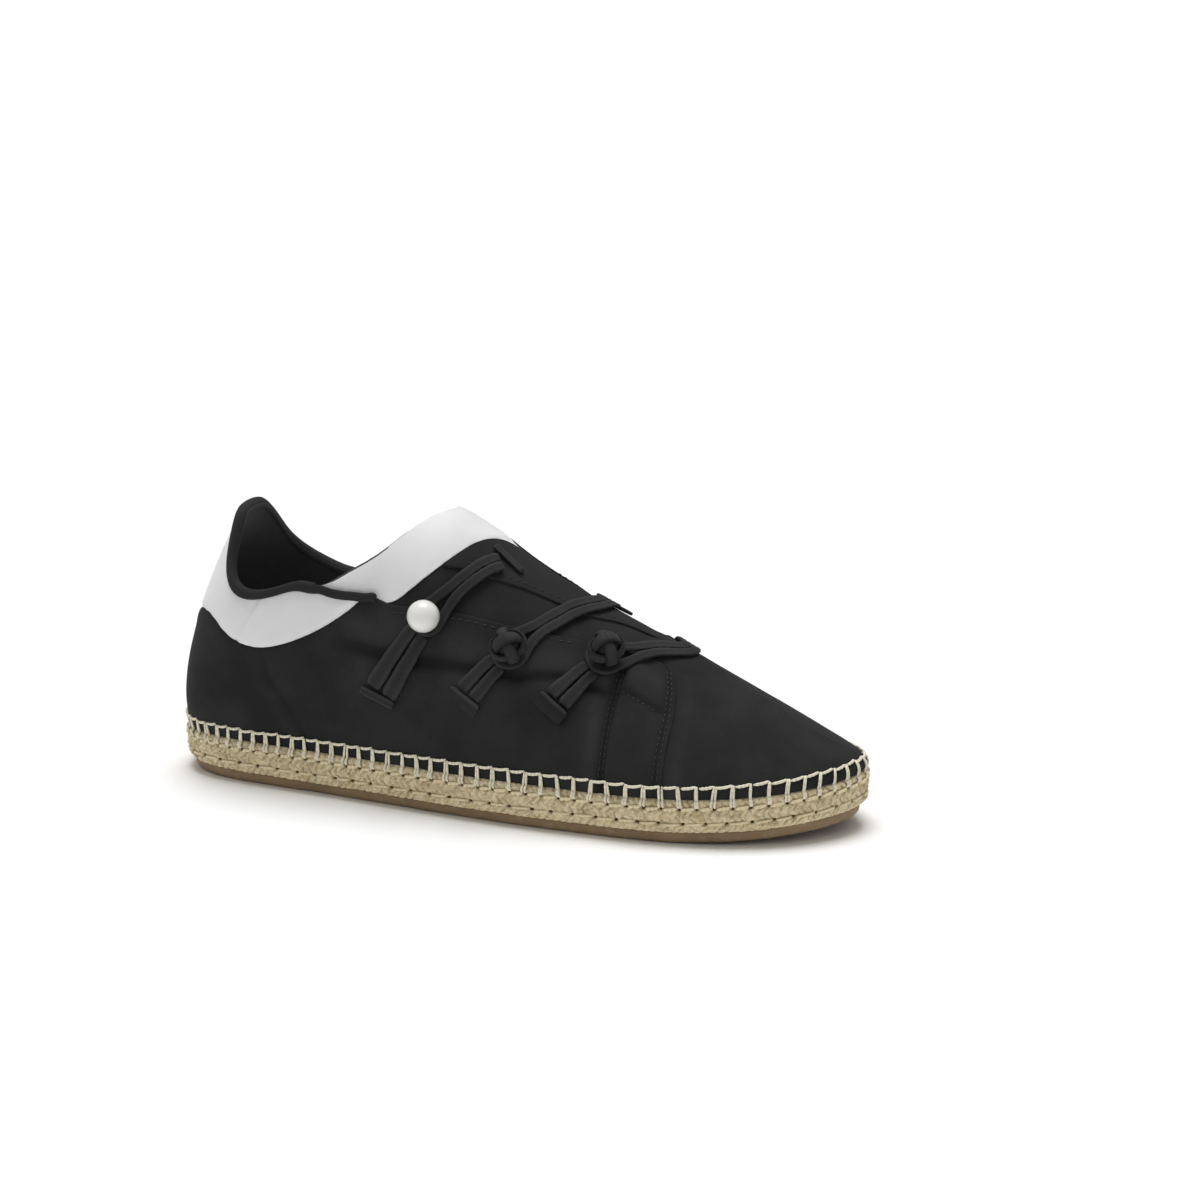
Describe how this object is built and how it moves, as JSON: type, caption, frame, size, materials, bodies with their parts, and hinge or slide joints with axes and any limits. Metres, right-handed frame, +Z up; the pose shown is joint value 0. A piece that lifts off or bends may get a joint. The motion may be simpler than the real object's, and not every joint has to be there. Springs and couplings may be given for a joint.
{
  "type": "low slip-on sneaker with frog fastenings",
  "caption": "Low right-foot sneaker: cotton wrap-over upper with a contrast collar, closed by frog fastenings, on a rope-wrapped sole with a thin rubber outsole.",
  "frame": {"origin": "on the floor under the middle of the shoe's bounding box", "axes": "+X from heel to toe, +Y to the medial side (the wearer's left), +Z up; a right shoe, so its lateral side is at -Y"},
  "size_m": [0.2706, 0.0906, 0.1067],
  "materials": {
    "rubber": "matte",
    "jute": "rough braided plant fibre",
    "lining": "matte",
    "cotton": "matte woven cotton; the collar panel and throat band are a pale satin weave",
    "cord": "matte cotton tape and cord",
    "pearl": "glossy pearl"
  },
  "bodies": {
    "root": {"outsole": "rubber", "midsole": "jute", "insole": "lining", "upper": "cotton", "collar_binding": "cotton", "heel_tab": "cotton", "frog_1_anchor": "cord", "frog_1_loop": "cord", "frog_1_pearl": "pearl", "frog_1_tail_a": "cord", "frog_1_tail_b": "cord", "frog_1_bar": "cord", "frog_2_anchor": "cord", "frog_2_loop": "cord", "frog_2_knot": "cord", "frog_2_tail_a": "cord", "frog_2_tail_b": "cord", "frog_2_bar": "cord", "frog_2_tab": "cord", "frog_3_anchor": "cord", "frog_3_loop": "cord", "frog_3_knot": "cord", "frog_3_tail_a": "cord", "frog_3_tail_b": "cord", "frog_3_bar": "cord", "frog_3_tab": "cord"}
  },
  "joints": []
}
